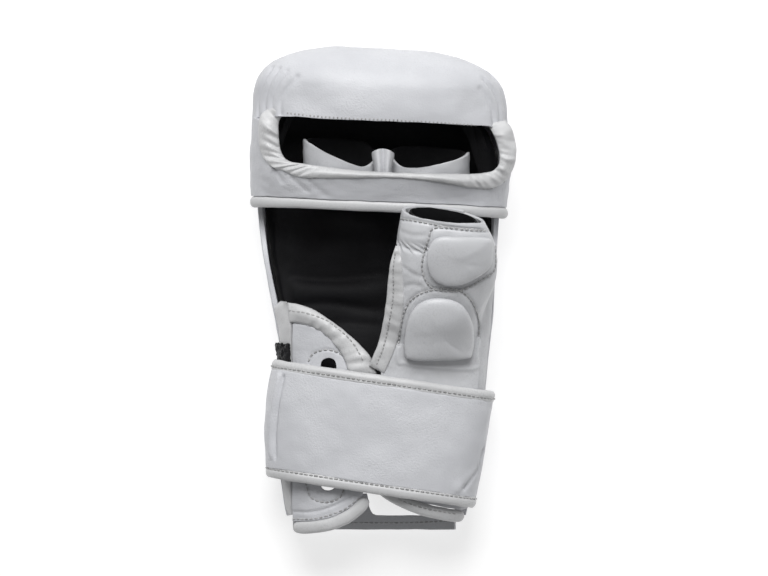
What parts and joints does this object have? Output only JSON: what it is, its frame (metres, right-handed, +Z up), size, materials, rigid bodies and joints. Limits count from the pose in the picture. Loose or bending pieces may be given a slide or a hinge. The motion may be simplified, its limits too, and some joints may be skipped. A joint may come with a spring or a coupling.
{
  "type": "mma glove",
  "caption": "White leather right-hand sparring glove with a padded hood, a separate thumb and a wrist strap, lying palm up.",
  "frame": {"origin": "middle of the footprint, on the surface the glove lies on", "axes": "+Y from the cuff to the fingertips, +X to the thumb side, +Z up out of the palm"},
  "size_m": [0.1378, 0.2558, 0.0904],
  "materials": {
    "leather": "satin",
    "binding": "satin",
    "lining": "matte",
    "fastening": "matte"
  },
  "bodies": {
    "root": {"knuckle_hood": "leather", "finger_band": "leather", "finger_loop_left": "leather", "finger_loop_right": "leather", "loop_post": "leather", "back_panel": "leather", "cuff_hem": "leather", "pinky_flap": "leather", "thumb_panel": "leather", "thumb_back": "leather", "thumb_pad_upper": "leather", "thumb_pad_lower": "leather", "heel_panel": "leather", "wrist_strap": "leather", "finger_opening_binding": "binding", "finger_band_piping": "binding", "flap_upper_binding": "binding", "flap_lower_binding": "binding", "pinky_side_strip": "binding", "web_binding": "binding", "heel_binding": "binding", "strap_lower_binding": "binding", "strap_upper_binding": "binding", "head_lining": "lining", "finger_loop_lining_left": "lining", "finger_loop_lining_right": "lining", "palm_lining": "lining", "thumb_lining": "lining", "fastening_patch": "fastening"}
  },
  "joints": []
}
